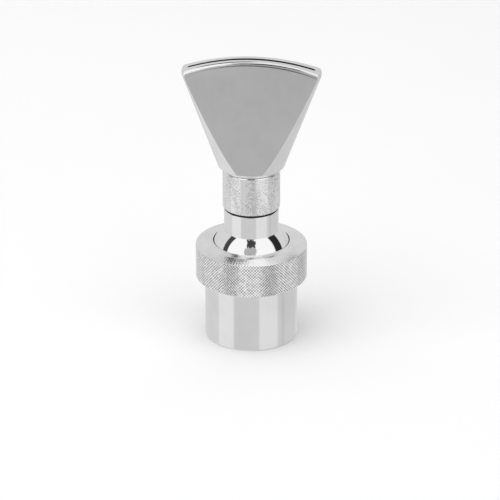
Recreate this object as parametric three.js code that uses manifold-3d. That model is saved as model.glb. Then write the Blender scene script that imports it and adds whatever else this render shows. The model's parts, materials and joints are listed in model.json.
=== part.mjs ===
// A fan-jet fountain nozzle on a swivel ball joint, in millimetres, +Z up.
// The origin is the centre of the bottom face of the base socket. The pipe axis is Z, and at rest
// the fan stands upright on it, with its wide direction along X and its flat front face towards -Y.
//
// From the bottom: the base socket screws onto a 1 inch pipe and holds a ball in a plastic seat ring.
// A knurled ring nut clamps the ball from above through a slip ring. The ball carries a stem, and
// the neck collar of the fan head screws onto that stem. Water leaves through the slot on top.

import * as THREE from "three";
import { mergeVertices } from "three/addons/utils/BufferGeometryUtils.js";
import Module from "manifold-3d";

const wasm = await Module();
wasm.setup();

// ---- driving dimensions -------------------------------------------------------------------

const TURN_STEPS = 56; // sides of every turned piece
const ARC_STEP = THREE.MathUtils.degToRad(7); // step along a ball or corner profile
const TOP_STEP = THREE.MathUtils.degToRad(3); // step along the fan's shallow top
const BEAD_SIDES = 8; // sides of an O-ring's section
const JOINT_GAP = 0.2; // face to face gap in the clamped neck joint

const BALL = {
  centre: 35,
  radius: 18.5,
  runningRadius: 18.8, // sphere that the rings round the ball are cut to
  mouthRadius: 11.4, // outer edge of the flat under the ball
  flareRadius: 10.4,
  flareTop: 27,
  bore: 8,
  stemRadius: 11.7,
  shoulder: 59.3, // where the stem steps down to its thread
  threadRadius: 10.4, // crest of the G1/2 male thread
  top: 73.4,
};

const BASE = {
  radius: 20, // outside of the socket
  bevel: 0.5,
  shoulder: 27.9, // where the outside steps out to the union thread
  threadStart: 28.6,
  threadRadius: 21.4, // crest of the M43 x 1.5 union thread
  top: 36,
  inletRadius: 15.5, // mean radius of the G1 female thread
  inletDepth: 12.5,
  reliefStart: 13.3,
  reliefRadius: 16.8, // undercut past the end of the G1 thread
  inletFloor: 16.2,
  waterway: 12,
  seatFloor: 20,
  seatRadius: 17.2,
  seatTop: 26.4,
  cupRadius: 19,
  cupStart: 29.4,
};

const O_RING = { centre: 15.2, height: 19.2, radius: 0.8, grooveHalf: 1.1, grooveFloor: 18.1 };
const SEAT = { inner: 13.4, outer: 16.9, bottom: 20.3, top: 25.6 };
const INLET_GASKET = { inner: 12, outer: 16.4, bottom: 13.9, top: 15.9 };

const NUT = {
  radius: 24.05, // over the knurl
  bottom: 27.4,
  bevel: 0.6,
  knurlTop: 42.2,
  flatRadius: 20.5, // outer edge of the flat top
  top: 44.1,
  threadBore: 21.7,
  lipUnder: 41.7, // underside of the lip that holds the slip ring
};

const SLIP_RING = { outer: 21.4, bottom: 38.4, top: 41.4 };
const NECK_GASKET = { inner: 10.8, outer: 11.9, thickness: 0.4 };
const COLLAR = { radius: 12.3, bore: 10.8, bevel: 0.4, top: 77.5 };

const FAN = {
  bottom: 77.7,
  spigotRadius: 10.5, // tube that centres the fan in the collar
  spigotBottom: 74.2,
  footRadius: 12.3, // round foot of the fan
  footTop: 78.5,
  flareStart: 79.4, // from here up the sides are straight
  faceStart: 80.2, // from here up the faces are flat
  cornerHeight: 121,
  halfWidthLow: 14.3,
  halfWidthHigh: 29.7,
  halfDepthLow: 11.6,
  halfDepthHigh: 4.75,
  sideRadiusHigh: 10, // the curved sides start at the foot's radius and tighten to this
  cornerRadius: 1.8,
  topRadius: 88, // the curved top is an arc round the point where the sides would meet
  top: 127.1,
  seamGap: 0.1, // between the two brazed half shells
};

const CAVITY = {
  bore: 8.5,
  boreTop: 78.5,
  slotStart: 117, // the slot keeps one width above this height
  slotHalfGap: 0.9,
  halfWidthAtSlot: 24.4,
};

const OVERRUN = 3; // how far a cutting solid runs past what it cuts
const NEARLY_ROUND = 0.996; // depth over diameter of a round section, which keeps two short flats
const SIDE_STEPS = 9; // steps round each curved side of a fan section

// ---- solids -------------------------------------------------------------------------------

function solidOf(geometry) {
  const bare = geometry.index ? geometry.toNonIndexed() : geometry.clone();
  bare.deleteAttribute("normal");
  bare.deleteAttribute("uv");
  const merged = mergeVertices(bare, 1e-4);
  return new wasm.Manifold(
    new wasm.Mesh({
      numProp: 3,
      vertProperties: merged.attributes.position.array,
      triVerts: new Uint32Array(merged.index.array),
    }),
  );
}

function geometryOf(solid) {
  const mesh = solid.getMesh();
  const geometry = new THREE.BufferGeometry();
  geometry.setAttribute("position", new THREE.BufferAttribute(mesh.vertProperties, 3));
  geometry.setIndex(new THREE.BufferAttribute(mesh.triVerts, 1));
  geometry.computeVertexNormals();
  return geometry;
}

// A ring turned round Z. Its profile lists [radius, height] points counter-clockwise, seen with
// the radius to the right and the height up, and closes on itself.
function turned(profile) {
  const points = [...profile, profile[0]].map(([radius, height]) => new THREE.Vector2(radius, height));
  return new THREE.LatheGeometry(points, TURN_STEPS).rotateX(Math.PI / 2);
}

// Points on a circle from one angle to another, both included.
function arc(centreX, centreY, radius, from, to, step = ARC_STEP) {
  const steps = Math.max(1, Math.ceil(Math.abs(to - from) / step));
  return Array.from({ length: steps + 1 }, (_, i) => {
    const angle = from + ((to - from) * i) / steps;
    return [centreX + radius * Math.cos(angle), centreY + radius * Math.sin(angle)];
  });
}

// Profile points on a sphere round the ball's centre, from one height to another.
function sphereZone(radius, fromHeight, toHeight) {
  const angleAt = (height) => Math.asin((height - BALL.centre) / radius);
  return arc(0, BALL.centre, radius, angleAt(fromHeight), angleAt(toHeight));
}

// How far above or below its centre a sphere has a given radius.
function sphereRise(sphere, radius) {
  return Math.sqrt(sphere ** 2 - radius ** 2);
}

// ---- the fixed socket and its seals -------------------------------------------------------

function baseSocket() {
  const b = BASE;
  return turned([
    [b.inletRadius, 0],
    [b.radius - b.bevel, 0],
    [b.radius, b.bevel],
    [b.radius, b.shoulder],
    [b.threadRadius, b.threadStart],
    [b.threadRadius, b.top],
    [b.cupRadius, b.top],
    [b.cupRadius, b.cupStart],
    [b.seatRadius, b.seatTop],
    [b.seatRadius, b.seatFloor],
    [O_RING.centre + O_RING.grooveHalf, b.seatFloor],
    [O_RING.centre + O_RING.grooveHalf, O_RING.grooveFloor],
    [O_RING.centre - O_RING.grooveHalf, O_RING.grooveFloor],
    [O_RING.centre - O_RING.grooveHalf, b.seatFloor],
    [b.waterway, b.seatFloor],
    [b.waterway, b.inletFloor],
    [b.reliefRadius, b.inletFloor],
    [b.reliefRadius, b.reliefStart],
    [b.inletRadius, b.inletDepth],
  ]);
}

function flatWasher(inner, outer, bottom, top) {
  return turned([
    [inner, bottom],
    [outer, bottom],
    [outer, top],
    [inner, top],
  ]);
}

function seatORing() {
  const ring = new THREE.TorusGeometry(O_RING.centre, O_RING.radius, BEAD_SIDES, TURN_STEPS);
  return ring.translate(0, 0, O_RING.height);
}

function ballSeatRing() {
  const contactLow = BALL.centre - sphereRise(BALL.runningRadius, SEAT.inner);
  return turned([
    [SEAT.inner, SEAT.bottom],
    [SEAT.outer, SEAT.bottom],
    [SEAT.outer, SEAT.top],
    ...sphereZone(BALL.runningRadius, SEAT.top, contactLow),
  ]);
}

// ---- the ball and its stem ----------------------------------------------------------------

function ballStem() {
  const mouth = BALL.centre - sphereRise(BALL.radius, BALL.mouthRadius);
  const stemFoot = BALL.centre + sphereRise(BALL.radius, BALL.stemRadius);
  return turned([
    [BALL.flareRadius, mouth],
    ...sphereZone(BALL.radius, mouth, stemFoot),
    [BALL.stemRadius, BALL.shoulder],
    [BALL.threadRadius, BALL.shoulder],
    [BALL.threadRadius, BALL.top],
    [BALL.bore, BALL.top],
    [BALL.bore, BALL.flareTop],
  ]);
}

// ---- the clamp ----------------------------------------------------------------------------

function slipRing() {
  return turned([
    [SLIP_RING.outer, SLIP_RING.bottom],
    [SLIP_RING.outer, SLIP_RING.top],
    ...sphereZone(BALL.runningRadius, SLIP_RING.top, SLIP_RING.bottom),
  ]);
}

function ringNut() {
  const n = NUT;
  return turned([
    [n.threadBore, n.bottom],
    [n.radius - n.bevel, n.bottom],
    [n.radius, n.bottom + n.bevel],
    [n.radius, n.knurlTop],
    [n.flatRadius, n.top],
    ...sphereZone(BALL.runningRadius, n.top, n.lipUnder),
    [n.threadBore, n.lipUnder],
  ]);
}

// ---- the fan head -------------------------------------------------------------------------

function neckCollar(bottom) {
  const c = COLLAR;
  return turned([
    [c.bore, bottom],
    [c.radius - c.bevel, bottom],
    [c.radius, bottom + c.bevel],
    [c.radius, c.top - c.bevel],
    [c.radius - c.bevel, c.top],
    [c.bore, c.top],
  ]);
}

// A horizontal section through a flattened tube: two flat faces joined by two curved sides.
function flattenedSection(halfWidth, halfDepth, sideRadius, height) {
  const spread = Math.asin(halfDepth / sideRadius);
  const offset = halfWidth - sideRadius;
  const side = (middle, centreX) =>
    Array.from({ length: SIDE_STEPS + 1 }, (_, i) => {
      const angle = middle + spread * ((2 * i) / SIDE_STEPS - 1);
      const x = centreX + sideRadius * Math.cos(angle);
      return new THREE.Vector3(x, sideRadius * Math.sin(angle), height);
    });
  return [...side(0, offset), ...side(Math.PI, -offset)];
}

// A closed solid through sections that all have the same number of points, bottom section first.
function lofted(sections) {
  const count = sections[0].length;
  const points = sections.flat();
  const triangles = [];
  for (let level = 0; level < sections.length - 1; level++) {
    for (let i = 0; i < count; i++) {
      const here = level * count + i;
      const next = level * count + ((i + 1) % count);
      triangles.push(here, next, next + count, here, next + count, here + count);
    }
  }
  const last = (sections.length - 1) * count;
  for (let i = 1; i < count - 1; i++) {
    triangles.push(0, i + 1, i, last, last + i, last + i + 1);
  }
  const geometry = new THREE.BufferGeometry().setFromPoints(points);
  geometry.setIndex(triangles);
  return geometry;
}

const share = (value, low, high) => (value - low) / (high - low);

// The outside of the fan at a height: a round foot that turns over into straight flaring sides
// and flat faces that lean towards each other.
function fanSection(height) {
  const turn = (end) => (Math.PI / 2) * THREE.MathUtils.clamp(share(height, FAN.footTop, end), 0, 1);
  const footWidth = FAN.footRadius + (FAN.halfWidthLow - FAN.footRadius) * Math.sin(turn(FAN.flareStart));
  const footDepth = FAN.footRadius * NEARLY_ROUND;
  const faceDepth = FAN.halfDepthLow + (footDepth - FAN.halfDepthLow) * Math.cos(turn(FAN.faceStart));
  const flare = Math.max(0, share(height, FAN.flareStart, FAN.cornerHeight));
  const rise = Math.max(0, share(height, FAN.faceStart, FAN.cornerHeight));
  return flattenedSection(
    footWidth + (FAN.halfWidthHigh - FAN.halfWidthLow) * flare,
    faceDepth + (FAN.halfDepthHigh - FAN.halfDepthLow) * rise,
    THREE.MathUtils.lerp(FAN.footRadius, FAN.sideRadiusHigh, rise),
    height,
  );
}

function fanOutside() {
  const footLevels = 4;
  const bodyLevels = 6;
  const end = FAN.top + OVERRUN;
  const foot = Array.from({ length: footLevels }, (_, i) =>
    THREE.MathUtils.lerp(FAN.footTop, FAN.faceStart, i / footLevels),
  );
  const body = Array.from({ length: bodyLevels + 1 }, (_, i) =>
    THREE.MathUtils.lerp(FAN.faceStart, end, i / bodyLevels),
  );
  return lofted([FAN.bottom, ...foot, ...body].map(fanSection));
}

// The waterway inside the fan: a round bore that flattens and widens into the slot.
function cavitySection(height) {
  const rise = share(height, CAVITY.boreTop, CAVITY.slotStart);
  const width = THREE.MathUtils.lerp(CAVITY.bore, CAVITY.halfWidthAtSlot, Math.max(0, rise));
  const depth = THREE.MathUtils.lerp(
    CAVITY.bore * NEARLY_ROUND,
    CAVITY.slotHalfGap,
    THREE.MathUtils.clamp(rise, 0, 1),
  );
  return flattenedSection(width, depth, depth / NEARLY_ROUND, height);
}

function fanCavity() {
  const levels = 5;
  const flare = Array.from({ length: levels + 1 }, (_, i) =>
    THREE.MathUtils.lerp(CAVITY.boreTop, CAVITY.slotStart, i / levels),
  );
  const heights = [FAN.spigotBottom - OVERRUN, ...flare, FAN.top + OVERRUN];
  return lofted(heights.map(cavitySection));
}

// The front view of the fan as a plate: upright sides, round corners and the curved top.
function fanOutline() {
  const low = FAN.spigotBottom - OVERRUN;
  const topCentre = FAN.top - FAN.topRadius;
  const cornerX = FAN.halfWidthHigh - FAN.cornerRadius;
  const cornerZ = topCentre + sphereRise(FAN.topRadius - FAN.cornerRadius, cornerX);
  const lean = Math.atan2(cornerZ - topCentre, cornerX);
  const right = arc(cornerX, cornerZ, FAN.cornerRadius, 0, lean);
  const top = arc(0, topCentre, FAN.topRadius, lean, Math.PI - lean, TOP_STEP);
  const left = arc(-cornerX, cornerZ, FAN.cornerRadius, Math.PI - lean, Math.PI);
  const outline = [
    [-FAN.halfWidthHigh, low],
    [FAN.halfWidthHigh, low],
    ...right,
    ...top.slice(1, -1),
    ...left,
  ];
  const shape = new THREE.Shape(outline.map(([x, z]) => new THREE.Vector2(x, z)));
  const depth = 4 * FAN.footRadius;
  const plate = new THREE.ExtrudeGeometry(shape, { depth, bevelEnabled: false });
  return plate.rotateX(Math.PI / 2).translate(0, depth / 2, 0);
}

function fanBody() {
  const lap = 0.1; // how far the spigot runs into the foot, and into the cavity that trims it
  const spigot = flatWasher(CAVITY.bore - lap, FAN.spigotRadius, FAN.spigotBottom, FAN.bottom + lap);
  return solidOf(fanOutside())
    .intersect(solidOf(fanOutline()))
    .add(solidOf(spigot))
    .subtract(solidOf(fanCavity()));
}

// One half shell: side is -1 for the front half and +1 for the rear half.
function fanShell(body, side) {
  const reach = 4 * FAN.halfWidthHigh;
  const half = new THREE.BoxGeometry(reach, reach, 2 * FAN.top + reach);
  half.translate(0, side * (reach / 2 + FAN.seamGap / 2), 0);
  return geometryOf(body.intersect(solidOf(half)));
}

// ---- the assembly -------------------------------------------------------------------------

const polished = { color: 0xd6d7d9, roughness: 0.12, metalness: 1 };
const turnedSteel = { color: 0xc9cacc, roughness: 0.28, metalness: 1 };
const satin = { color: 0xc4c5c7, roughness: 0.4, metalness: 1 };
const rubber = { color: 0x1d1d1f, roughness: 0.75, metalness: 0 };
const plastic = { color: 0xe9e9e6, roughness: 0.5, metalness: 0 };

const nozzle = new THREE.Group();

function place(group, name, geometry, look) {
  const mesh = new THREE.Mesh(geometry, new THREE.MeshStandardMaterial(look));
  mesh.name = name;
  group.add(mesh);
}

place(nozzle, "base_socket", baseSocket(), turnedSteel);
place(
  nozzle,
  "inlet_gasket",
  flatWasher(INLET_GASKET.inner, INLET_GASKET.outer, INLET_GASKET.bottom, INLET_GASKET.top),
  rubber,
);
place(nozzle, "seat_o_ring", seatORing(), rubber);
place(nozzle, "ball_seat_ring", ballSeatRing(), plastic);
place(nozzle, "slip_ring", slipRing(), plastic);
place(nozzle, "ring_nut", ringNut(), satin);
place(nozzle, "ball_stem", ballStem(), polished);

const head = new THREE.Group();
nozzle.add(head);
const gasketBottom = BALL.shoulder + JOINT_GAP;
const gasketTop = gasketBottom + NECK_GASKET.thickness;
place(
  head,
  "neck_gasket",
  flatWasher(NECK_GASKET.inner, NECK_GASKET.outer, gasketBottom, gasketTop),
  rubber,
);
place(head, "neck_collar", neckCollar(gasketTop + JOINT_GAP), satin);
const wholeFan = fanBody();
place(head, "fan_front_shell", fanShell(wholeFan, -1), polished);
place(head, "fan_rear_shell", fanShell(wholeFan, 1), polished);

export default nozzle;
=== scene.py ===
"""The looks of a swivel fan-jet fountain nozzle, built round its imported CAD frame. Lengths are in metres."""

import json
import math

import bmesh
import bpy
import numpy as np
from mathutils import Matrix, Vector


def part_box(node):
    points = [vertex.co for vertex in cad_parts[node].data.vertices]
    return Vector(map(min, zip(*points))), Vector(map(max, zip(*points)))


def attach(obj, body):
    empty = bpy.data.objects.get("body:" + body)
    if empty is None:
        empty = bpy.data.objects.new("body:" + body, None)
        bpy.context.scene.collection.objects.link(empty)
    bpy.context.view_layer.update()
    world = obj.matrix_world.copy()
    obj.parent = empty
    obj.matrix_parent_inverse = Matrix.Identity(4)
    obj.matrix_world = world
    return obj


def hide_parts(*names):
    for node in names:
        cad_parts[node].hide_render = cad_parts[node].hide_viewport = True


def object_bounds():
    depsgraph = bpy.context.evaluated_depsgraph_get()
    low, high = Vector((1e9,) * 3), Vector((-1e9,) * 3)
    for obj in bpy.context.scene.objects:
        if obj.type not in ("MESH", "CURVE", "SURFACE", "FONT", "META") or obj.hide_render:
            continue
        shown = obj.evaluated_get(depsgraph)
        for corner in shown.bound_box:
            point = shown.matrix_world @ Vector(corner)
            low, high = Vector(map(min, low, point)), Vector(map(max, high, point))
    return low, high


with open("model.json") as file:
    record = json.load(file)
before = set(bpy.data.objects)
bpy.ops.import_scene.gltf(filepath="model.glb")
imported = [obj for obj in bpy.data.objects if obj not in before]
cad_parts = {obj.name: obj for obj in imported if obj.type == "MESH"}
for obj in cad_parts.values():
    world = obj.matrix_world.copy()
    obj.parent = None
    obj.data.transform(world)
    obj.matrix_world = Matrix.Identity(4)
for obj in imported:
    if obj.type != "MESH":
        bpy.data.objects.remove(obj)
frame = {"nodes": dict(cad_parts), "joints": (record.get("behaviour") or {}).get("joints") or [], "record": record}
CAD_LOW, CAD_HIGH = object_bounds()

MM = 0.001
TINY = 1e-6  # two lengths closer than this are the same
JOINTS = {joint["name"]: joint for joint in frame["joints"]}
BALL_CENTRE = JOINTS["aim_tilt"]["pos_m"][2]

# ---- meshes -------------------------------------------------------------------------------


def mesh_object(name, points, faces, sharp_angle):
    """An object from points and faces, with its faces turned outwards and its sharp edges kept."""
    mesh = bpy.data.meshes.new(name)
    mesh.from_pydata([tuple(p) for p in points], [], faces)
    work = bmesh.new()
    work.from_mesh(mesh)
    bmesh.ops.recalc_face_normals(work, faces=work.faces)
    work.to_mesh(mesh)
    work.free()
    mesh.shade_smooth()
    mesh.set_sharp_from_angle(angle=sharp_angle)
    piece = bpy.data.objects.new(name, mesh)
    bpy.context.scene.collection.objects.link(piece)
    return piece


def finish_piece(piece, node, slot, material, *regions):
    """Puts a piece in the place of its CAD node.

    Each region is a (material, test) pair: that material covers the faces whose centre passes."""
    piece.data.materials.append(material)
    for number, (region_material, is_in) in enumerate(regions, 1):
        piece.data.materials.append(region_material)
        for polygon in piece.data.polygons:
            if is_in(polygon.center):
                polygon.material_index = number
    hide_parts(node)
    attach(piece, BODY_OF[node])


BODY_OF = {node: body for body, nodes in frame["record"]["behaviour"]["bodies"].items() for node in nodes}

# ---- turned pieces ------------------------------------------------------------------------

ROUND_STEPS = 256  # segments round a plain turned piece
FILLET_STEPS = 5
SPHERE_PARTS = 4  # parts that each of the CAD's steps along a sphere is cut into
LONGEST_SPHERE_STEP = 3 * MM
SHARP_ANGLE = math.radians(35)
CORNER_TURN = math.radians(14)  # an outline that turns less than this is a curve, not a corner
GUARD = 0.06 * MM  # a loop this close to each fillet keeps the flat beside it flat


def turned_profile(node):
    """The closed outline of a turned CAD node, as (radius, height) points anticlockwise.

    Its facets meet the half plane x = 0, y < 0 in the edges of that outline."""
    mesh = frame["nodes"][node].data
    keys = {}
    for v in mesh.vertices:
        if abs(v.co.x) < TINY and v.co.y < 0:
            keys[v.index] = (round(-v.co.y, 6), round(v.co.z, 6))
    beside = {key: set() for key in keys.values()}
    for edge in mesh.edges:
        a, b = (keys.get(i) for i in edge.vertices)
        if a and b and a != b:
            beside[a].add(b)
            beside[b].add(a)
    start = min(beside)
    outline = [start, min(beside[start])]
    while outline[-1] != start:
        outline.append(next(p for p in beside[outline[-1]] if p != outline[-2]))
    outline.pop()
    pairs = zip(outline, outline[1:] + outline[:1])
    area = sum(a[0] * b[1] - b[0] * a[1] for a, b in pairs)
    return outline if area > 0 else outline[::-1]


def refined(outline):
    """The outline with each step along a sphere round the ball's centre cut into parts."""
    centre = Vector((0, BALL_CENTRE))
    out = []
    for a, b in zip(outline, outline[1:] + outline[:1]):
        out.append(a)
        from_centre, to_centre = Vector(a) - centre, Vector(b) - centre
        same = abs(from_centre.length - to_centre.length) < 2 * TINY
        short = TINY < (to_centre - from_centre).length < LONGEST_SPHERE_STEP
        if same and short and a[0] != b[0]:
            for i in range(1, SPHERE_PARTS):
                middle = from_centre.lerp(to_centre, i / SPHERE_PARTS).normalized() * from_centre.length
                out.append(tuple(centre + middle))
    return out


def fillet(corner, before, after, radius):
    """Points that round a corner of an outline, with a guard point on each side.

    The radius shrinks where a side is too short for it."""
    corner, before, after = Vector(corner), Vector(before), Vector(after)
    to_before, to_after = (before - corner), (after - corner)
    opening = to_before.angle(to_after)
    reach = radius / math.tan(opening / 2)
    longest = 0.42 * min(to_before.length, to_after.length)
    if reach > longest:
        reach, radius = longest, longest * math.tan(opening / 2)
    d_before, d_after = to_before.normalized(), to_after.normalized()
    centre = corner + (d_before + d_after).normalized() * (radius / math.sin(opening / 2))
    start, end = corner + d_before * reach - centre, corner + d_after * reach - centre
    guard = min(GUARD, 0.05 * min(to_before.length, to_after.length))
    points = [corner + d_before * (reach + guard)]
    for i in range(FILLET_STEPS + 1):
        step = start.lerp(end, i / FILLET_STEPS).normalized() * radius
        points.append(centre + step)
    points.append(corner + d_after * (reach + guard))
    return [tuple(p) for p in points]


def rounded(outline, radius, special=()):
    """The outline with its corners rounded. special lists (radius, height, fillet) for odd corners."""
    out = []
    count = len(outline)
    for i, corner in enumerate(outline):
        before, after = outline[i - 1], outline[(i + 1) % count]
        turn = (Vector(corner) - Vector(before)).angle(Vector(after) - Vector(corner))
        own = next((s[2] for s in special if math.dist(s[:2], corner) < 10 * TINY), radius)
        if turn < CORNER_TURN or own == 0:
            out.append(corner)
        else:
            out += fillet(corner, before, after, own)
    return out


def cut_upright(outline, radius, step):
    """The outline with its upright stretches at one radius cut into equal steps."""
    out = []
    for a, b in zip(outline, outline[1:] + outline[:1]):
        out.append(a)
        if abs(a[0] - radius) < TINY and abs(b[0] - radius) < TINY:
            count = max(1, round(abs(b[1] - a[1]) / step))
            out += [(radius, a[1] + (b[1] - a[1]) * i / count) for i in range(1, count)]
    return out


def thread_relief(radius, low, high, pitch, inward, outward):
    """A right-hand thread on the wall at one radius, as a function that gives each point's radial shift.

    It reaches inward and outward from that wall, and fades away at both ends."""
    run_out = 0.7 * pitch
    flat = 0.14  # share of the half pitch that is flat at the crest and at the root

    def shift(radii, heights, angles):
        phase = (heights / pitch - angles / math.tau) % 1
        side = np.clip((np.abs(2 * phase - 1) - flat) / (1 - 2 * flat), 0, 1)
        ends = np.clip(np.minimum(heights - low, high - heights) / run_out, 0, 1)
        on_wall = (np.abs(radii - radius) < TINY) & (heights > low) & (heights < high)
        return np.where(on_wall, ends * (outward - (outward + inward) * side), 0)

    return shift


def revolved(name, outline, relief=None, steps=ROUND_STEPS, sharp_angle=SHARP_ANGLE):
    """A closed ring turned round Z from its outline, with an optional radial relief.

    A bent quad is split along its ridge, so that threads and knurls keep their crests."""
    angles = np.arange(steps) * (math.tau / steps)
    radii, heights = (np.array(column) for column in zip(*outline))
    radii_grid = np.repeat(radii[None, :], steps, 0)
    heights_grid = np.repeat(heights[None, :], steps, 0)
    angles_grid = np.repeat(angles[:, None], len(radii), 1)
    if relief:
        radii_grid = radii_grid + relief(radii_grid, heights_grid, angles_grid)
    points = np.stack(
        (radii_grid * np.cos(angles_grid), radii_grid * np.sin(angles_grid), heights_grid), -1
    ).reshape(-1, 3)
    rows = len(radii)
    faces = []
    for i in range(steps):
        after = (i + 1) % steps
        for j in range(rows):
            k = (j + 1) % rows
            bend = radii_grid[i, j] + radii_grid[after, k] - radii_grid[after, j] - radii_grid[i, k]
            a, b, c, d = i * rows + j, after * rows + j, after * rows + k, i * rows + k
            if bend < -TINY:
                faces += [(a, b, c), (a, c, d)]
            elif bend > TINY:
                faces += [(a, b, d), (b, c, d)]
            else:
                faces.append((a, b, c, d))
    return mesh_object(name, points, faces, sharp_angle)


def wall_span(outline, radius):
    """Lowest and highest point of an outline's upright wall at one radius."""
    heights = [z for r, z in outline if abs(r - radius) < 10 * TINY]
    return min(heights), max(heights)


THREAD_ROWS = 12  # rows to one pitch


def threaded_ring(name, outline, threads):
    """A turned piece with threads, each a (wall radius, pitch, inward, outward) on its own wall."""
    shifts = []
    for radius, pitch, inward, outward in threads:
        low, high = wall_span(outline, radius)
        outline = cut_upright(outline, radius, pitch / THREAD_ROWS)
        shifts.append(thread_relief(radius, low, high, pitch, inward, outward))
    return revolved(name, outline, lambda r, z, a: sum(shift(r, z, a) for shift in shifts))


# ---- the socket, the ball and the clamp ---------------------------------------------------

UNION_PITCH = 1.5 * MM
PIPE_PITCH = 2.309 * MM  # G1
NECK_PITCH = 1.814 * MM  # G1/2
# How far each thread reaches inward and outward from the CAD's plain wall.
PIPE_REACH = (0.35 * MM, 1.05 * MM)
UNION_MALE_REACH = (0.8 * MM, 0)
UNION_FEMALE_REACH = (0, 0.8 * MM)
NECK_MALE_REACH = (1.0 * MM, 0)
NECK_FEMALE_REACH = (0, 0.8 * MM)

METAL_FILLET = 0.25 * MM
COLLAR_FILLET = 0.3 * MM
RING_FILLET = 0.3 * MM  # on the plastic rings and the inlet gasket
THIN_FILLET = 0.1 * MM  # on the neck gasket
NEAR_END = 10 * MM  # the middle of a threaded wall is at most this far from its end of the piece
NEAR_TOP = 7 * MM  # the same for the union thread, which has a plain wall further down


def radii_of(outline, low, high):
    """Distinct wall radii of an outline's upright stretches between two heights, smallest first."""
    shortest = 1 * MM
    found = set()
    for a, b in zip(outline, outline[1:] + outline[:1]):
        upright = abs(a[0] - b[0]) < TINY and abs(a[1] - b[1]) > shortest
        if upright and low <= (a[1] + b[1]) / 2 <= high:
            found.add(a[0])
    return sorted(found)


def base_socket():
    """The socket, with the pipe thread inside its foot and the union thread round its top."""
    raw = turned_profile("base_socket")
    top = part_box("base_socket")[1].z
    inlet = radii_of(raw, 0, NEAR_END)[0]
    union = radii_of(raw, top - NEAR_TOP, top)[-1]
    threads = [(inlet, PIPE_PITCH, *PIPE_REACH), (union, UNION_PITCH, *UNION_MALE_REACH)]
    return threaded_ring("base_socket_fine", rounded(raw, METAL_FILLET), threads)


def ball_stem():
    """The ball and its stem, with the neck thread round the stem's end."""
    raw = turned_profile("ball_stem")
    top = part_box("ball_stem")[1].z
    neck = radii_of(raw, top - NEAR_END, top)[-1]
    outline = rounded(refined(raw), METAL_FILLET)
    return threaded_ring("ball_stem_fine", outline, [(neck, NECK_PITCH, *NECK_MALE_REACH)])


def neck_collar():
    """The collar, threaded inside."""
    raw = turned_profile("neck_collar")
    low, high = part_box("neck_collar")
    bore = radii_of(raw, low.z, high.z)[0]
    outline = rounded(raw, COLLAR_FILLET)
    return threaded_ring("neck_collar_fine", outline, [(bore, NECK_PITCH, *NECK_FEMALE_REACH)])


KNURL_COUNT = 116  # diamonds round the nut
KNURL_DIAMONDS = 10.5  # diamonds up its side
KNURL_DEPTH = 0.22 * MM
KNURL_BLUNT = 0.86  # how much of its full height a diamond's point keeps
KNURL_STEPS = 4  # grid steps across one diamond
KNURL_SHARP_ANGLE = math.radians(25)


def ring_nut():
    """The union nut: a diamond knurl of real facets between its two chamfers, and a thread inside."""
    raw = turned_profile("ring_nut")
    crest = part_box("ring_nut")[1].x
    low, high = wall_span(raw, crest)
    bore = radii_of(raw, low, high)[0]
    bore_low, bore_high = wall_span(raw, bore)
    step = (high - low) / (KNURL_DIAMONDS * KNURL_STEPS)
    sharp_ends = [(crest, low, 0), (crest, high, 0)]
    outline = rounded(refined(raw), METAL_FILLET, sharp_ends)
    outline = cut_upright(outline, crest, step)
    outline = cut_upright(outline, bore, UNION_PITCH / THREAD_ROWS)
    outline = knurl_shoulders(outline, crest, low, high)
    thread = thread_relief(bore, bore_low, bore_high, UNION_PITCH, *UNION_FEMALE_REACH)

    def relief(radii, heights, angles):
        across = angles / math.tau * KNURL_COUNT * 2
        along = (heights - low) / step * 2 / KNURL_STEPS
        a = np.abs((across + along + 1) % 2 - 1)
        b = np.abs((across - along + 1) % 2 - 1)
        height = np.minimum(1 - np.maximum(a, b), KNURL_BLUNT) / KNURL_BLUNT
        knurled = np.abs(radii - crest) < TINY
        return np.where(knurled, -KNURL_DEPTH * (1 - height), 0) + thread(radii, heights, angles)

    return revolved("ring_nut_fine", outline, relief, KNURL_COUNT * KNURL_STEPS, KNURL_SHARP_ANGLE)


def knurl_shoulders(outline, crest, low, high):
    """Adds a row on each chamfer just inside the knurl's roots, so that the knurl runs out there."""
    inside = crest - 1.3 * KNURL_DEPTH
    out = []
    for a, b in zip(outline, outline[1:] + outline[:1]):
        out.append(a)
        for end in (low, high):
            ends = [p for p in (a, b) if math.dist(p, (crest, end)) < 10 * TINY]
            other = b if ends and ends[0] is a else a
            if len(ends) == 1 and other[0] < inside:
                share = (crest - inside) / (crest - other[0])
                out.append((inside, end + (other[1] - end) * share))
    return out


def plain_ring(node, radius):
    """A turned CAD node with its corners rounded and its spherical faces smoothed."""
    return revolved(node + "_fine", rounded(refined(turned_profile(node)), radius))


def o_ring():
    """The O-ring under the seat ring, with a round section."""
    low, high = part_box("seat_o_ring")
    bead = (high.z - low.z) / 2
    sides = 24
    angles = [math.tau * i / sides for i in range(sides)]
    ring, height = high.x - bead, (low.z + high.z) / 2
    outline = [(ring + bead * math.cos(a), height + bead * math.sin(a)) for a in angles]
    return revolved("seat_o_ring_fine", outline)


# ---- the fan ------------------------------------------------------------------------------

FAN_LOW, FAN_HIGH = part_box("fan_front_shell")


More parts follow.
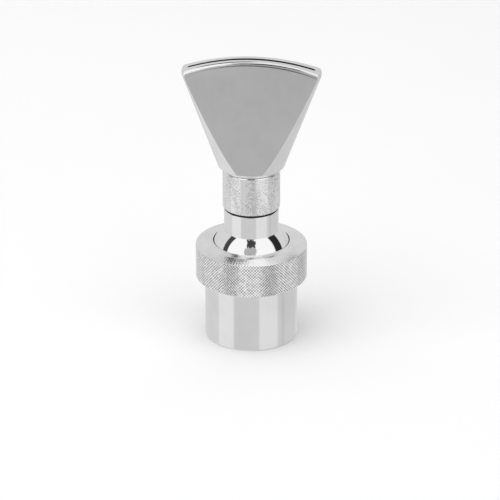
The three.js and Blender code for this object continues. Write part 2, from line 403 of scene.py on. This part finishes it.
class Fan:
    """The fan's outline: its heights, half widths and half depths, each pair from low to high."""

    foot_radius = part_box("neck_collar")[1].x
    joint_gap = 0.2 * MM  # between the collar and the foot
    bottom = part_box("neck_collar")[1].z + joint_gap
    foot_top = 78.5 * MM
    flare_start = 79.4 * MM
    face_start = 80.2 * MM
    ledge = 79 * MM  # each flat face reaches down to here, and stops at a small ledge on the foot
    corner_height = 121 * MM
    half_width = (14.3 * MM, FAN_HIGH.x)
    half_depth = (11.6 * MM, 4.75 * MM)
    side_radius = (foot_radius, 10 * MM)
    foot_fillet = 0.25 * MM
    spigot_bevel = 0.3 * MM
    edge_fillet = 0.35 * MM  # along both sides of the flat faces
    lip_fillets = {1: 2.4 * MM, -1: 1.0 * MM}  # outer edge of the top, on the front and rear shells
    corner_fillet = 1.8 * MM  # at the ends of the top
    slot_fillet = 0.12 * MM  # along both sides of the slot
    top_radius = 88 * MM
    top = FAN_HIGH.z
    spigot_radius = 10.5 * MM
    spigot_bottom = FAN_LOW.z
    seam = 0.05 * MM  # half of the gap between the shells
    sharp_angle = math.radians(40)


class Cavity:
    """The waterway inside the fan: a bore that flattens into the slot."""

    bore = 8.5 * MM
    bore_top = 78.5 * MM
    slot_start = 117 * MM
    slot_half_gap = 0.9 * MM
    half_width_at_slot = 24.4 * MM


SIDE_COLUMNS = 18  # across each curved side of a shell
EDGE_COLUMNS = 7  # across each rounded edge of its face
FACE_COLUMNS = 56  # across its face
NEARLY_ROUND = 0.9999  # depth over width of a round section, which leaves its face a little width


def mix(pair, share):
    """The value at a share of the way from the first of a pair to the second."""
    return pair[0] + (pair[1] - pair[0]) * share


def fan_sizes(z):
    """Half width, half depth and side radius of the fan at each height, as in the CAD solid."""
    turn = np.clip((z - Fan.foot_top) / (Fan.flare_start - Fan.foot_top), 0, 1) * math.pi / 2
    flare = np.maximum(0, (z - Fan.flare_start) / (Fan.corner_height - Fan.flare_start))
    rise = (z - Fan.face_start) / (Fan.corner_height - Fan.face_start)
    width = mix((Fan.foot_radius, Fan.half_width[0]), np.sin(turn))
    width = width + (Fan.half_width[1] - Fan.half_width[0]) * flare
    depth = np.where(z > Fan.ledge, mix(Fan.half_depth, rise), Fan.foot_radius * NEARLY_ROUND)
    return width, depth, mix(Fan.side_radius, np.maximum(0, rise))


def cavity_sizes(z):
    """Half width and half depth of the waterway at each height."""
    rise = (z - Cavity.bore_top) / (Cavity.slot_start - Cavity.bore_top)
    width = mix((Cavity.bore, Cavity.half_width_at_slot), np.maximum(0, rise))
    depth = mix((Cavity.bore * NEARLY_ROUND, Cavity.slot_half_gap), np.clip(rise, 0, 1))
    return width, depth


def columns():
    """For each column of a half section: which side it is on, and its share of the way across its part."""
    side = [("side", i / SIDE_COLUMNS) for i in range(SIDE_COLUMNS)]
    edge = [("edge", i / EDGE_COLUMNS) for i in range(EDGE_COLUMNS)]
    half = [(1, *c) for c in side + edge]
    face = [(0, "face", i / FACE_COLUMNS) for i in range(FACE_COLUMNS + 1)]
    return half + face + [(-1, part, share) for _, part, share in reversed(half)]


COLUMNS = columns()


def outer_section(z):
    """Points of the fan's front outside, one for each column, at that column's height."""
    width, depth, side = fan_sizes(z)
    edge = np.minimum(Fan.edge_fillet, 0.5 * depth)
    offset = width - side
    edge_x = offset + np.sqrt(np.maximum((side - edge) ** 2 - (depth - edge) ** 2, 0))
    spread = np.arctan2(depth - edge, edge_x - offset)
    points = np.zeros((len(COLUMNS), 2))
    for i, (sign, part, share) in enumerate(COLUMNS):
        if part == "side":
            angle = share * spread[i]
            x, y = offset[i] + side[i] * math.cos(angle), side[i] * math.sin(angle)
        elif part == "edge":
            angle = spread[i] + share * (math.pi / 2 - spread[i])
            x, y = edge_x[i] + edge[i] * math.cos(angle), depth[i] - edge[i] * (1 - math.sin(angle))
        else:
            x, y, sign = edge_x[i] * (1 - 2 * share), depth[i], 1
        points[i] = sign * x, -y
    return points


def inner_section(z):
    """Points of the waterway's front wall, one for each column, at that column's height."""
    width, depth = cavity_sizes(z)
    round_share = SIDE_COLUMNS / (SIDE_COLUMNS + EDGE_COLUMNS)
    points = np.zeros((len(COLUMNS), 2))
    for i, (sign, part, share) in enumerate(COLUMNS):
        if part == "face":
            points[i] = (width[i] - depth[i]) * (1 - 2 * share), -depth[i]
            continue
        turned = share * round_share if part == "side" else round_share + share * (1 - round_share)
        angle = turned * math.pi / 2
        points[i] = sign * (width[i] - depth[i] + depth[i] * math.cos(angle)), -depth[i] * math.sin(angle)
    return points


def level(section, z):
    """A row of 3-D points of a section, at one height or at one height for each column."""
    heights = np.broadcast_to(np.asarray(z, float), (len(COLUMNS),))
    flat = section(heights)
    return np.column_stack((flat, heights))


def top_height(x):
    """Height of the fan's curved top at a distance from the middle."""
    return Fan.top - Fan.top_radius + np.sqrt(Fan.top_radius**2 - x**2)


def meet_top(section):
    """Where each column of a section reaches the curved top, found by closing in on it."""
    rounds = 30
    z = np.full(len(COLUMNS), Fan.top)
    for _ in range(rounds):
        z = top_height(section(z)[:, 0])
    return level(section, z)


def unit(vectors):
    """Each row scaled to length 1."""
    return vectors / np.linalg.norm(vectors, axis=1, keepdims=True)


def edge_rows(corner, down, across, radius, steps):
    """Rows of points that round an edge whose two walls leave each corner along down and across."""
    cosine = np.sum(down * across, axis=1)
    half = np.arccos(np.clip(cosine, -1, 1)) / 2
    reach = (radius / np.tan(half))[:, None]
    centre = corner + unit(down + across) * (radius / np.sin(half))[:, None]
    start, end = corner + down * reach - centre, corner + across * reach - centre
    rows = []
    for i in range(steps + 1):
        step = unit(start + (end - start) * (i / steps)) * radius[:, None]
        rows.append(centre + step)
    return rows


def side_share():
    """1 at the ends of a shell, where it meets the other one, falling to 0 on its flat face."""
    shares = [1 - share if part == "side" else 0 for _, part, share in COLUMNS]
    return np.array(shares) ** 1.5


def top_edges(lip_fillet):
    """Rows that round the outer edge of the curved top, and rows that round the edge of the slot."""
    step_down = 0.2 * MM
    lip_steps, slot_steps = 10, 4
    outer_top, inner_top = meet_top(outer_section), meet_top(inner_section)
    outer_down = unit(level(outer_section, outer_top[:, 2] - step_down) - outer_top)
    inner_down = unit(level(inner_section, inner_top[:, 2] - step_down) - inner_top)
    inward = unit(inner_top - outer_top)
    lip_radius = mix((lip_fillet, Fan.corner_fillet), side_share())
    slot_radius = np.full(len(COLUMNS), Fan.slot_fillet)
    lip = edge_rows(outer_top, outer_down, inward, lip_radius, lip_steps)
    slot = edge_rows(inner_top, inner_down, -inward, slot_radius, slot_steps)
    return lip, slot[::-1]


def outer_rows(lip_start):
    """The rows up the outside of a shell, from its foot to the start of its lip."""
    foot_rows, flare_rows, body_steps = 4, 10, 26
    heights = [*np.linspace(Fan.bottom + Fan.foot_fillet, Fan.foot_top, foot_rows)]
    flare = np.linspace(Fan.foot_top, Fan.face_start, flare_rows + 1)[1:]
    ledge = (Fan.ledge - GUARD, Fan.ledge, Fan.ledge + 0.5 * GUARD, Fan.ledge + 1.5 * GUARD)
    heights += sorted((*flare, *ledge))
    for i in range(1, body_steps):
        heights.append(Fan.face_start + (lip_start - Fan.face_start) * i / body_steps)
    heights.append(lip_start - GUARD)
    return [level(outer_section, z) for z in heights]


def inner_rows(slot_end):
    """The rows down the waterway, from below the slot's edge to the end of the spigot."""
    slot_steps, flare_rows = 5, 19
    heights = []
    for i in range(1, slot_steps + 1):
        heights.append(slot_end + (Cavity.slot_start - slot_end) * i / slot_steps)
    heights += [*np.linspace(Cavity.slot_start, Cavity.bore_top, flare_rows + 1)[1:]]
    heights.append(Fan.spigot_bottom)
    return [level(inner_section, z) for z in heights]


def shell_rows(lip_fillet):
    """The rows of a shell, from its foot up the outside, over the lip and down the waterway."""
    lip, slot = top_edges(lip_fillet)
    across = [lip[-1] + (slot[0] - lip[-1]) * share for share in (0.04, 0.35, 0.65, 0.96)]
    return [
        *outer_rows(lip[0][:, 2]),
        *lip,
        *across,
        *slot,
        *inner_rows(slot[-1][:, 2]),
        *spigot_rows(),
    ]


def ring_row(radius, z):
    """A half circle of points, one for each column, spaced as the foot's are."""
    foot = level(outer_section, Fan.bottom)
    angles = np.arctan2(foot[:, 1], foot[:, 0])
    return np.column_stack((radius * np.cos(angles), radius * np.sin(angles), np.full(len(COLUMNS), z)))


def spigot_rows():
    """The spigot's outside and the foot's underside, back to the start of the rows."""
    low, radius, bevel = Fan.spigot_bottom, Fan.spigot_radius, Fan.spigot_bevel
    rows = [ring_row(Cavity.bore + bevel, low), ring_row(radius - bevel, low)]
    rows += [ring_row(radius, low + bevel), ring_row(radius, Fan.bottom)]
    steps = 4
    for i in range(steps):
        angle = math.pi / 2 * i / steps
        reach = Fan.foot_radius - Fan.foot_fillet * (1 - math.sin(angle))
        rows.append(ring_row(reach, Fan.bottom + Fan.foot_fillet * (1 - math.cos(angle))))
    return rows


def fan_shell(name, side):
    """One half shell: side is 1 for the front half and -1 for the rear half."""
    rows = shell_rows(Fan.lip_fillets[side])
    wide = len(COLUMNS)
    points = np.vstack(rows)
    points[:, 1] = np.minimum(points[:, 1], -Fan.seam) * side
    faces = []
    count = len(rows)
    for i in range(count):
        k = (i + 1) % count
        for j in range(wide - 1):
            faces.append((i * wide + j, i * wide + j + 1, k * wide + j + 1, k * wide + j))
    faces.append(tuple(i * wide for i in range(count)))
    faces.append(tuple(i * wide + wide - 1 for i in reversed(range(count))))
    return mesh_object(name, points, faces, Fan.sharp_angle)


# ---- materials ----------------------------------------------------------------------------


class Nodes:
    """A short way to add and join shader nodes."""

    def __init__(self, tree):
        self.tree = tree

    def add(self, kind, inputs=None, **settings):
        node = self.tree.nodes.new(kind)
        for key, value in settings.items():
            setattr(node, key, value)
        for key, value in (inputs or {}).items():
            if isinstance(value, bpy.types.NodeSocket):
                self.tree.links.new(value, node.inputs[key])
            else:
                node.inputs[key].default_value = value
        return node

    def math(self, operation, *values, clamp=False):
        node = self.add("ShaderNodeMath", dict(enumerate(values)), operation=operation, use_clamp=clamp)
        return node.outputs[0]

    def noise(self, vector, scale, detail=3, roughness=0.5):
        inputs = {"Vector": vector, "Scale": scale, "Detail": detail, "Roughness": roughness}
        return self.add("ShaderNodeTexNoise", inputs).outputs["Fac"]

    def stretched(self, vector, scale):
        inputs = {"Vector": vector, "Scale": scale}
        return self.add("ShaderNodeMapping", inputs).outputs["Vector"]

    def range(self, value, low, high, to_low, to_high, smooth=False):
        inputs = {"Value": value, "From Min": low, "From Max": high, "To Min": to_low, "To Max": to_high}
        kind = "SMOOTHSTEP" if smooth else "LINEAR"
        return self.add("ShaderNodeMapRange", inputs, interpolation_type=kind).outputs["Result"]

    def blend(self, share, low, high):
        node = self.add("ShaderNodeMix", {"Factor": share}, data_type="RGBA")
        for key, value in ((6, low), (7, high)):
            node.inputs[key].default_value = (*value, 1)
        return node.outputs[2]


def material(name, metallic, **sockets):
    """A new material, its node helper and its shader. Sockets are named with _ for each space."""
    made = bpy.data.materials.new(name)
    made.use_nodes = True
    shader = made.node_tree.nodes["Principled BSDF"]
    shader.inputs["Metallic"].default_value = metallic
    for key, value in sockets.items():
        shader.inputs[key.replace("_", " ")].default_value = value
    return made, Nodes(made.node_tree), shader


def wear(nodes, place, shader, colours, rough, patch):
    """Cloudy variation of colour and roughness, as handling and water leave on bright metal."""
    clouds = nodes.noise(place, patch, 4, 0.6)
    share = nodes.range(clouds, 0.35, 0.65, 0, 1)
    nodes.tree.links.new(nodes.blend(share, *colours), shader.inputs["Base Color"])
    fine = nodes.noise(place, patch * 9, 3, 0.6)
    mixed = nodes.math("MULTIPLY_ADD", fine, 0.4, nodes.math("MULTIPLY", clouds, 0.6))
    rough_out = nodes.range(mixed, 0.3, 0.7, *rough)
    nodes.tree.links.new(rough_out, shader.inputs["Roughness"])


def bump(nodes, shader, height, distance):
    """Fine relief, too small to be worth a mesh."""
    inputs = {"Height": height, "Distance": distance}
    out = nodes.add("ShaderNodeBump", inputs).outputs["Normal"]
    nodes.tree.links.new(out, shader.inputs["Normal"])


def place_of(nodes):
    """The place on the piece, in metres from the part's origin."""
    return nodes.add("ShaderNodeTexCoord").outputs["Object"]


def buffed_metal():
    """The fan: bright buffed metal with a faint waviness and very fine polishing lines."""
    made, nodes, shader = material("buffed_fan", 1)
    place = place_of(nodes)
    wear(nodes, place, shader, ((0.83, 0.83, 0.835), (0.9, 0.9, 0.905)), (0.08, 0.14), 60)
    lines = nodes.noise(nodes.stretched(place, (9000, 2500, 260)), 1, 2, 0.5)
    waves = nodes.noise(place, 45, 2, 0.4)
    height = nodes.math("MULTIPLY_ADD", lines, 0.02, nodes.math("MULTIPLY", waves, 0.9))
    bump(nodes, shader, height, 0.05 * MM)
    return made


def turned_metal():
    """The socket: bright metal with fine lathe lines round it."""
    made, nodes, shader = material("turned_socket", 1)
    place = place_of(nodes)
    wear(nodes, place, shader, ((0.86, 0.86, 0.865), (0.91, 0.91, 0.915)), (0.06, 0.11), 70)
    lines = nodes.noise(nodes.stretched(place, (60, 60, 6000)), 1, 2, 0.6)
    bump(nodes, shader, lines, 0.01 * MM)
    return made


def faced_metal():
    """The nut's plain top and chamfers: turned metal with a fine grain."""
    made, nodes, shader = material("faced_nut", 1)
    place = place_of(nodes)
    wear(nodes, place, shader, ((0.84, 0.84, 0.845), (0.92, 0.92, 0.925)), (0.1, 0.2), 140)
    grain = nodes.noise(place, 1500, 3, 0.6)
    bump(nodes, shader, grain, 0.03 * MM)
    return made


def mirror_metal():
    """The ball and stem: mirror chrome with a few hairline rubs where it turns in its seat."""
    made, nodes, shader = material("mirror_ball", 1)
    place = place_of(nodes)
    wear(nodes, place, shader, ((0.88, 0.88, 0.89), (0.93, 0.93, 0.935)), (0.03, 0.06), 80)
    lines = nodes.noise(nodes.stretched(place, (300, 300, 5000)), 1, 2, 0.5)
    bump(nodes, shader, lines, 0.002 * MM)
    return made


def satin_metal():
    """The collar: drawn metal with a dense grain of small grey specks and a few dark pits."""
    made, nodes, shader = material("satin_collar", 1)
    place = place_of(nodes)
    cells = nodes.add("ShaderNodeTexVoronoi", {"Vector": place, "Scale": 2300.0}).outputs["Color"]
    chance, tone, _ = nodes.add("ShaderNodeSeparateColor", {0: cells}).outputs
    streaks = nodes.noise(nodes.stretched(place, (230, 230, 40)), 1, 2, 0.5)
    density = nodes.range(streaks, 0.36, 0.6, 0.0, 0.9)
    speck = nodes.math("LESS_THAN", chance, density)
    pit = nodes.math("LESS_THAN", tone, 0.012)
    depth = nodes.math("MULTIPLY", speck, nodes.range(tone, 0, 1, 0.15, 0.6))
    share = nodes.math("SUBTRACT", nodes.math("SUBTRACT", 1.0, depth), pit, clamp=True)
    colour = nodes.blend(share, (0.42, 0.42, 0.43), (0.93, 0.93, 0.935))
    nodes.tree.links.new(colour, shader.inputs["Base Color"])
    nodes.tree.links.new(nodes.range(share, 0, 1, 0.34, 0.1), shader.inputs["Roughness"])
    bump(nodes, shader, share, 0.006 * MM)
    return made


def knurled_metal(low, high):
    """The knurl between two heights: bright on its facets, with painted shade along the bottoms of its grooves."""
    made, nodes, shader = material("knurled_band", 1)
    place = place_of(nodes)
    x, y, z = nodes.add("ShaderNodeSeparateXYZ", {0: place}).outputs
    across = nodes.math("MULTIPLY", nodes.math("ARCTAN2", y, x), 2 * KNURL_COUNT / math.tau)
    along = nodes.range(z, low, high, 0, 2 * KNURL_DIAMONDS)
    grooves = []
    for lead in ("ADD", "SUBTRACT"):
        groove = nodes.math("PINGPONG", nodes.math("ADD", nodes.math(lead, across, along), 1.0), 1.0)
        grooves.append(nodes.math("SUBTRACT", 1.0, groove))
    # Painted shade: the bottoms of the grooves are coloured dark, patchy by noise, where shade falls between the
    # facets.
    groove_shade = nodes.range(nodes.math("MAXIMUM", *grooves), 0.55, 0.95, 0, 1)
    groove_shade = nodes.math("MULTIPLY", groove_shade, nodes.range(nodes.noise(place, 700, 3), 0.3, 0.6, 0.35, 1))
    colour = nodes.blend(groove_shade, (0.99, 0.99, 0.99), (0.23, 0.23, 0.23))
    nodes.tree.links.new(colour, shader.inputs["Base Color"])
    nodes.tree.links.new(nodes.range(groove_shade, 0, 1, 0.1, 0.3), shader.inputs["Roughness"])
    bump(nodes, shader, nodes.noise(place, 2600, 3, 0.6), 0.01 * MM)
    return made


def machined_inside_painted_shade():
    """Waterways and threads: cut metal that was never polished and is rougher, with painted shade: coloured near
    black, as the shade inside the hollows.
    """
    made, nodes, shader = material("machined_inside_painted_shade", 1)
    place = place_of(nodes)
    wear(nodes, place, shader, ((0.09, 0.09, 0.09), (0.18, 0.18, 0.178)), (0.3, 0.46), 200)
    lines = nodes.noise(nodes.stretched(place, (80, 80, 4000)), 1, 2, 0.6)
    bump(nodes, shader, lines, 0.02 * MM)
    return made


def white_plastic():
    """The seat ring and slip ring: waxy moulded plastic."""
    made, nodes, shader = material("bearing_plastic", 0, Specular_IOR_Level=0.4)
    place = place_of(nodes)
    wear(nodes, place, shader, ((0.84, 0.84, 0.81), (0.9, 0.9, 0.88)), (0.38, 0.5), 150)
    bump(nodes, shader, nodes.noise(place, 1800, 2, 0.5), 0.01 * MM)
    return made


def black_rubber():
    """The gaskets and the O-ring: dull black rubber with a fine grain."""
    made, nodes, shader = material("gasket_rubber", 0, Specular_IOR_Level=0.35)
    place = place_of(nodes)
    wear(nodes, place, shader, ((0.018, 0.018, 0.019), (0.035, 0.035, 0.036)), (0.6, 0.8), 300)
    bump(nodes, shader, nodes.noise(place, 3000, 3, 0.6), 0.02 * MM)
    return made


# ---- the pieces ---------------------------------------------------------------------------

RUBBER = black_rubber()
PLASTIC = white_plastic()
BUFFED = buffed_metal()
# Painted shade: waterways and threads get a near-black metal colour, standing in for the shade inside them.
SHADED_INSIDE = machined_inside_painted_shade()


def within(radius, floor_height=1 * MM, ceiling_height=math.inf):
    """A test for what lies nearer to the pipe axis than a radius, between two heights."""
    return lambda p: math.hypot(p.x, p.y) < radius and floor_height < p.z < ceiling_height


def in_cavity(p):
    """True on the walls of the fan's waterway, which get the painted shade of the inside material."""
    width, depth = cavity_sizes(p.z)
    slack = 0.05 * MM
    below_top = p.z < top_height(p.x) - 0.6 * Fan.slot_fillet
    return bool(abs(p.y) < depth + slack and abs(p.x) < width + slack and below_top)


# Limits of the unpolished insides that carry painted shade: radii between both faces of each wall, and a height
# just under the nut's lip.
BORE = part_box("ball_stem")[1].x / 2
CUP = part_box("ball_stem")[1].x + 0.6 * MM
NUT_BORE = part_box("base_socket")[1].x + 0.5 * MM
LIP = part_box("slip_ring")[1].z + 0.2 * MM
KNURL_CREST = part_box("ring_nut")[1].x
KNURL_LOW, KNURL_HIGH = wall_span(turned_profile("ring_nut"), KNURL_CREST)


def on_knurl(p):
    """True on the knurled band of the nut."""
    return math.hypot(p.x, p.y) > KNURL_CREST - 1.2 * KNURL_DEPTH and KNURL_LOW < p.z < KNURL_HIGH


finish_piece(base_socket(), "base_socket", "turned_steel", turned_metal(), (SHADED_INSIDE, within(CUP)))
finish_piece(plain_ring("inlet_gasket", RING_FILLET), "inlet_gasket", "black_rubber", RUBBER)
finish_piece(o_ring(), "seat_o_ring", "black_rubber", RUBBER)
finish_piece(plain_ring("ball_seat_ring", RING_FILLET), "ball_seat_ring", "white_plastic", PLASTIC)
finish_piece(plain_ring("slip_ring", RING_FILLET), "slip_ring", "white_plastic", PLASTIC)
finish_piece(
    ring_nut(),
    "ring_nut",
    "knurled_steel",
    faced_metal(),
    (knurled_metal(KNURL_LOW, KNURL_HIGH), on_knurl),
    (SHADED_INSIDE, within(NUT_BORE, 0, LIP)),
)
finish_piece(ball_stem(), "ball_stem", "polished_chrome", mirror_metal(), (SHADED_INSIDE, within(BORE)))
finish_piece(plain_ring("neck_gasket", THIN_FILLET), "neck_gasket", "black_rubber", RUBBER)
finish_piece(neck_collar(), "neck_collar", "satin_steel", satin_metal())
for name, node, side in (("fan_front_fine", "fan_front_shell", 1), ("fan_rear_fine", "fan_rear_shell", -1)):
    finish_piece(fan_shell(name, side), node, "buffed_chrome", BUFFED, (SHADED_INSIDE, in_cavity))

# ---- the studio ---------------------------------------------------------------------------


def floor():
    """A plain pale floor. Mirrors see the studio below it, as on a table with a bright drop."""
    reach = 6.0
    corners = [(x, y, 0) for x, y in ((-reach, -reach), (reach, -reach), (reach, reach), (-reach, reach))]
    mesh = bpy.data.meshes.new("floor")
    mesh.from_pydata(corners, [], [(0, 1, 2, 3)])
    plane = bpy.data.objects.new("floor", mesh)
    bpy.context.scene.collection.objects.link(plane)
    made, nodes, shader = material("floor_paper", 0)
    tint = nodes.blend(nodes.noise(place_of(nodes), 8), (0.93, 0.93, 0.93), (0.95, 0.95, 0.95))
    nodes.tree.links.new(tint, shader.inputs["Base Color"])
    shader.inputs["Roughness"].default_value = 0.9
    shader.inputs["Specular IOR Level"].default_value = 0.1
    mesh.materials.append(made)
    plane.visible_glossy = False


def studio():
    """Soft light from all round: a white panel above the camera side, cut by dark gaps, and grey walls."""
    world = bpy.data.worlds.new("studio")
    world.use_nodes = True
    bpy.context.scene.world = world
    nodes = Nodes(world.node_tree)
    direction = nodes.add("ShaderNodeTexCoord").outputs["Generated"]
    x, y, z = nodes.add("ShaderNodeSeparateXYZ", {0: direction}).outputs
    azimuth = nodes.math("ARCTAN2", x, nodes.math("MULTIPLY", y, -1.0))
    rag = nodes.math("SUBTRACT", nodes.noise(direction, 8, 3), 0.5)  # uneven edges of what hangs above
    ragged_x = nodes.math("MULTIPLY_ADD", rag, 0.16, x)
    ragged_y = nodes.math("MULTIPLY_ADD", rag, -0.3, y)
    back = nodes.math("MULTIPLY_ADD", z, -0.5, y)  # how far behind the white panel's rear edge

    def band(value, low, high, soft):
        """1 between two limits and 0 outside them, with soft edges."""
        rise = nodes.range(value, low - soft, low + soft, 0, 1, True)
        fall = nodes.range(value, high - soft, high + soft, 1, 0, True)
        return nodes.math("MULTIPLY", rise, fall)

    def painted(under, cover, brightness):
        """The brightness where the cover is 1, and what is under it where the cover is 0."""
        return nodes.math("MULTIPLY_ADD", cover, nodes.math("SUBTRACT", brightness, under), under)

    def patch(under, along, across, soft, brightness):
        """Paints a patch bounded along two values, each given as (value, low, high)."""
        cover = nodes.math("MULTIPLY", band(*along, soft), band(*across, soft))
        return painted(under, cover, brightness)

    above, below, ahead = 2, -2, -2  # past every direction
    # Upright bands of grey wall, in degrees from the front towards +X: from, to, softness, brightness.
    walls = 0.7
    for low, high, soft, brightness in (
        (-86, -40, 3, 0.83),
        (-40, 24, 3, 0.64),
        (24, 74, 3, 0.79),
        (74, 150, 3, 0.64),
        (86, 96, 2, 0.58),
    ):
        cover = band(azimuth, *(math.radians(angle) for angle in (low, high, soft)))
        walls = painted(walls, cover, brightness)
    # What the fan's face and the undersides see: a grey screen ahead, and a floor darker on the right.
    screen = (azimuth, math.radians(-34), math.radians(26))
    walls = patch(walls, screen, (z, -0.28, 0.6), 0.1, 0.475)
    walls = patch(walls, (x, ahead, 0), (z, below, -0.55), 0.05, 0.78)
    walls = patch(walls, (x, 0, above), (z, below, -0.55), 0.05, 0.65)

    ceiling = painted(0.72, band(back, ahead, -0.32, 0.02), 1.02)  # the white panel
    for along, across, brightness in (
        ((x, -1.2, -0.5), (back, -0.43, -0.13), 0.06),  # dark gap behind it on the left
        ((x, 0.5, 1.2), (back, -0.28, 0.2), 0.025),  # dark gap on the right
        ((x, -0.12, 0.22), (back, -0.4, -0.17), 1.0),  # white strip overhead
        ((ragged_x, -0.38, -0.06), (back, -0.38, 0.03), 0.04),  # dark things beside the strip
        ((ragged_x, -0.17, 0.21), (ragged_y, -0.6, -0.26), 0.06),  # the same above the camera
        ((ragged_x, -0.27, 0.27), (ragged_y, ahead, -0.6), 0.46),  # grey below them
    ):
        ceiling = patch(ceiling, along, across, 0.02, brightness)
    window = (azimuth, math.radians(-9), math.radians(5))
    ceiling = patch(ceiling, window, (z, 0.2, 0.55), 0.03, 0.12)  # dark opening at the camera

    ceiling_start = 0.11  # the walls reach up to this z
    strength = painted(walls, band(z, ceiling_start, above, 0.03), ceiling)
    background = world.node_tree.nodes["Background"]
    world.node_tree.links.new(strength, background.inputs["Strength"])
    background.inputs["Color"].default_value = (1, 1, 1, 1)


def overhead_light():
    """A soft panel that keeps the floor bright."""
    data = bpy.data.lights.new("panel", "AREA")
    data.energy = 12.5
    data.size = 1.6
    lamp = bpy.data.objects.new("panel", data)
    lamp.location = (-0.3, -0.3, 1.5)
    lamp.rotation_euler = (Vector((0, 0, 0)) - lamp.location).to_track_quat("-Z", "Y").to_euler()
    lamp.visible_glossy = False
    bpy.context.scene.collection.objects.link(lamp)


CAMERA_AZIMUTH = math.radians(4)
CAMERA_ELEVATION = math.radians(24)
CAMERA_DISTANCE = 1.2
CAMERA_LENS = 202  # on a 36 mm sensor
CAMERA_CENTRE = Vector((0, 0, 0.51 * CAD_HIGH.z))  # the camera's distance is taken from here
CAMERA_AIM = Vector((-0.6 * MM, 0, 0.306 * CAD_HIGH.z))


def camera():
    """The viewing camera, aimed below the middle, so that the nozzle stands high in the frame."""
    data = bpy.data.cameras.new("view")
    data.lens = CAMERA_LENS
    data.clip_start = 0.05
    data.clip_end = 50
    view = bpy.data.objects.new("view", data)
    bpy.context.scene.collection.objects.link(view)
    bpy.context.scene.camera = view
    away = Vector(
        (
            math.sin(CAMERA_AZIMUTH) * math.cos(CAMERA_ELEVATION),
            -math.cos(CAMERA_AZIMUTH) * math.cos(CAMERA_ELEVATION),
            math.sin(CAMERA_ELEVATION),
        )
    )
    view.location = CAMERA_CENTRE + away * CAMERA_DISTANCE
    view.rotation_euler = (CAMERA_AIM - view.location).to_track_quat("-Z", "Y").to_euler()


floor()
studio()
overhead_light()
camera()
bpy.context.scene.view_settings.view_transform = "Standard"
